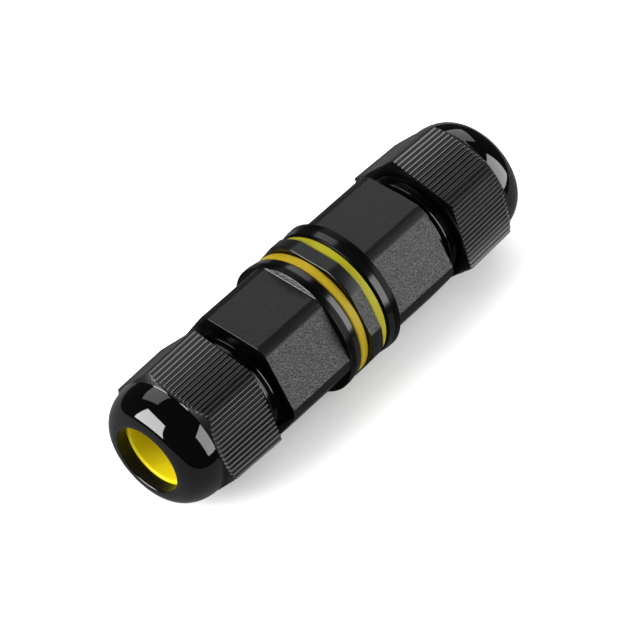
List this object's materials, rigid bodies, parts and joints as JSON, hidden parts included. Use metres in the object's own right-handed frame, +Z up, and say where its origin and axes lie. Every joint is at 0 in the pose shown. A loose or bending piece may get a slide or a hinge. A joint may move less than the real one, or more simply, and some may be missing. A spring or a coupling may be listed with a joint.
{
  "type": "waterproof wire-to-wire connector",
  "caption": "In-line waterproof cable connector: hexagonal housings with domed gland nuts screwed to a centre ring, terminals inside.",
  "frame": {"origin": "middle of the centre ring, on the cable axis", "axes": "+X along the cable axis from the left end to the right end, +Z up through the flat top facets of both housings"},
  "size_m": [0.0869, 0.0266, 0.0258],
  "materials": {
    "ring_plastic": "black moulded nylon, satin, with spanner flats",
    "housing_plastic": "black moulded nylon with a fine grain on the flats",
    "nut_plastic": "black moulded nylon, satin ribs and a polished dome",
    "cage_plastic": "black moulded nylon",
    "block_plastic": "dark moulded nylon",
    "ring_rubber": "yellow silicone rubber, semi-gloss",
    "seal_rubber": "bright yellow silicone rubber, semi-gloss",
    "terminal_brass": "turned brass tube",
    "screw_steel": "zinc-plated steel"
  },
  "bodies": {
    "centre": {"centre_body": "ring_plastic", "terminal_block": "block_plastic", "terminal_1": "terminal_brass", "terminal_2": "terminal_brass", "terminal_3": "terminal_brass", "left_sealing_ring": "ring_rubber", "right_sealing_ring": "ring_rubber"},
    "left_screw_1": {"left_terminal_screw_1": "screw_steel"},
    "left_screw_2": {"left_terminal_screw_2": "screw_steel"},
    "left_screw_3": {"left_terminal_screw_3": "screw_steel"},
    "left_seal": {"left_cable_seal": "seal_rubber"},
    "left_shell": {"left_housing": "housing_plastic"},
    "left_cage": {"left_clamp_cage": "cage_plastic"},
    "left_nut": {"left_gland_nut": "nut_plastic"},
    "right_screw_1": {"right_terminal_screw_1": "screw_steel"},
    "right_screw_2": {"right_terminal_screw_2": "screw_steel"},
    "right_screw_3": {"right_terminal_screw_3": "screw_steel"},
    "right_seal": {"right_cable_seal": "seal_rubber"},
    "right_shell": {"right_housing": "housing_plastic"},
    "right_cage": {"right_clamp_cage": "cage_plastic"},
    "right_nut": {"right_gland_nut": "nut_plastic"}
  },
  "joints": [
    {"name": "left_screw_1_travel", "type": "slide", "parent": "centre", "child": "left_screw_1", "axis": [0, 0, 1], "range_m": [-0.0012, 0.0014]},
    {"name": "left_screw_2_travel", "type": "slide", "parent": "centre", "child": "left_screw_2", "axis": [0, -0.866, -0.5], "range_m": [-0.0012, 0.0014]},
    {"name": "left_screw_3_travel", "type": "slide", "parent": "centre", "child": "left_screw_3", "axis": [0, 0.866, -0.5], "range_m": [-0.0012, 0.0014]},
    {"name": "left_housing_travel", "type": "slide", "parent": "centre", "child": "left_seal", "axis": [-1, 0, 0], "range_m": [0, 0.00705]},
    {"name": "left_housing_turn", "type": "hinge", "parent": "left_seal", "child": "left_shell", "pos_m": [0, 0, 0], "axis": [-1, 0, 0], "range_deg": [0, 1800]},
    {"name": "left_nut_travel", "type": "slide", "parent": "left_shell", "child": "left_cage", "axis": [-1, 0, 0], "range_m": [0, 0.00705]},
    {"name": "left_nut_turn", "type": "hinge", "parent": "left_cage", "child": "left_nut", "pos_m": [0, 0, 0], "axis": [-1, 0, 0], "range_deg": [0, 1800]},
    {"name": "right_screw_1_travel", "type": "slide", "parent": "centre", "child": "right_screw_1", "axis": [0, 0, 1], "range_m": [-0.0012, 0.0014]},
    {"name": "right_screw_2_travel", "type": "slide", "parent": "centre", "child": "right_screw_2", "axis": [0, -0.866, -0.5], "range_m": [-0.0012, 0.0014]},
    {"name": "right_screw_3_travel", "type": "slide", "parent": "centre", "child": "right_screw_3", "axis": [0, 0.866, -0.5], "range_m": [-0.0012, 0.0014]},
    {"name": "right_housing_travel", "type": "slide", "parent": "centre", "child": "right_seal", "axis": [1, 0, 0], "range_m": [0, 0.00705]},
    {"name": "right_housing_turn", "type": "hinge", "parent": "right_seal", "child": "right_shell", "pos_m": [0, 0, 0], "axis": [1, 0, 0], "range_deg": [0, 1800]},
    {"name": "right_nut_travel", "type": "slide", "parent": "right_shell", "child": "right_cage", "axis": [1, 0, 0], "range_m": [0, 0.00635]},
    {"name": "right_nut_turn", "type": "hinge", "parent": "right_cage", "child": "right_nut", "pos_m": [0, 0, 0], "axis": [1, 0, 0], "range_deg": [0, 1620]}
  ],
  "couplings": [
    {"joint": "left_housing_travel", "follows": "left_housing_turn", "m_per_rad": 0.00022441},
    {"joint": "left_nut_travel", "follows": "left_nut_turn", "m_per_rad": 0.00022441},
    {"joint": "right_housing_travel", "follows": "right_housing_turn", "m_per_rad": 0.00022441},
    {"joint": "right_nut_travel", "follows": "right_nut_turn", "m_per_rad": 0.00022441}
  ]
}
